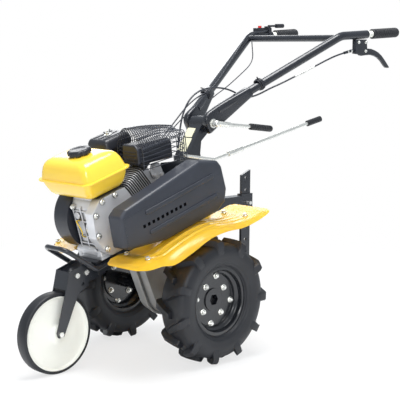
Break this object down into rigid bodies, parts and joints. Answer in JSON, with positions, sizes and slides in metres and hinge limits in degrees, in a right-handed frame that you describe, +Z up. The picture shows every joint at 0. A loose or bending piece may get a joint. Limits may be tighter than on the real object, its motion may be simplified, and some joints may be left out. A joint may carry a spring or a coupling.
{
  "type": "hand tractor",
  "caption": "Walk-behind hand tractor: petrol engine, belt cover, lugged drive wheels, folding front transport wheel, tilting handlebar and rear drag bar.",
  "frame": {"origin": "on the ground under the middle of the machine's bounding box", "axes": "+X to the machine's left, +Y to its rear, +Z up"},
  "size_m": [0.59, 1.5338, 1.125],
  "materials": {
    "yellow_paint": "gloss",
    "black_paint": "satin",
    "cover_plastic": "satin",
    "black_plastic": "matte",
    "red_plastic": "gloss",
    "shroud_black": "satin",
    "cast_aluminium": "as cast",
    "gearbox_grey": "as cast",
    "exhaust_black": "matte",
    "rim_black": "gloss",
    "tyre_rubber": "matte",
    "disc_cream": "satin",
    "zinc": "satin",
    "grip_rubber": "matte",
    "cable_black": "satin"
  },
  "bodies": {
    "chassis": {"air_cleaner": "black_plastic", "belt_cover": "cover_plastic", "belt_plate": "cover_plastic", "bumper_bar": "black_paint", "carburettor": "cast_aluminium", "clutch_arm": "black_paint", "clutch_cable": "cable_black", "column": "black_paint", "crankcase": "cast_aluminium", "cylinder": "cast_aluminium", "drag_bar": "black_paint", "engine_bed": "black_paint", "fan_shroud": "shroud_black", "fender_left": "yellow_paint", "fender_right": "yellow_paint", "fender_strap_front": "black_paint", "fender_strap_rear": "black_paint", "fork_lock_shank": "zinc", "fork_pivot_bolt": "zinc", "fuel_tank": "yellow_paint", "gearbox": "gearbox_grey", "hitch": "black_paint", "hitch_pin": "zinc", "input_case": "gearbox_grey", "muffler": "exhaust_black", "muffler_guard": "exhaust_black", "recoil_starter": "shroud_black", "shift_arm": "black_paint", "shift_grip": "grip_rubber", "shift_rod": "zinc", "side_cover": "cast_aluminium", "stop_wire": "cable_black", "tank_cap": "black_plastic", "throttle_cable": "cable_black"},
    "drive_wheels": {"axle": "black_paint", "hub_left": "rim_black", "hub_right": "rim_black", "rim_left": "rim_black", "rim_right": "rim_black", "tyre_left": "tyre_rubber", "tyre_right": "tyre_rubber"},
    "front_fork": {"front_fork": "black_paint", "fork_lock_ends": "zinc", "front_axle_bolt": "zinc"},
    "front_wheel": {"front_tyre": "tyre_rubber", "front_disc": "disc_cream"},
    "handlebar": {"handle_frame": "black_paint", "grip_left": "grip_rubber", "grip_right": "grip_rubber", "sleeve_left": "zinc", "sleeve_right": "zinc", "lever_bracket": "black_paint", "clutch_lever": "black_paint", "stop_switch": "black_plastic", "stop_button": "red_plastic", "throttle_mount": "black_plastic", "throttle_lever": "black_plastic", "clamp_lever": "zinc", "clamp_grip": "grip_rubber"}
  },
  "joints": [
    {"name": "drive_spin", "type": "hinge", "parent": "chassis", "child": "drive_wheels", "pos_m": [0, -0.171, 0.2075], "axis": [1, 0, 0], "continuous": true},
    {"name": "fork_fold", "type": "hinge", "parent": "chassis", "child": "front_fork", "pos_m": [0, -0.53643, 0.31562], "axis": [-1, 0, 0], "range_deg": [0, 60]},
    {"name": "front_wheel_spin", "type": "hinge", "parent": "front_fork", "child": "front_wheel", "pos_m": [0, -0.636, 0.13], "axis": [1, 0, 0], "continuous": true},
    {"name": "handlebar_tilt", "type": "hinge", "parent": "chassis", "child": "handlebar", "pos_m": [0, -0.00181, 0.76833], "axis": [1, 0, 0], "range_deg": [-15, 25], "deforming": ["clutch_cable", "throttle_cable", "stop_wire"]}
  ]
}
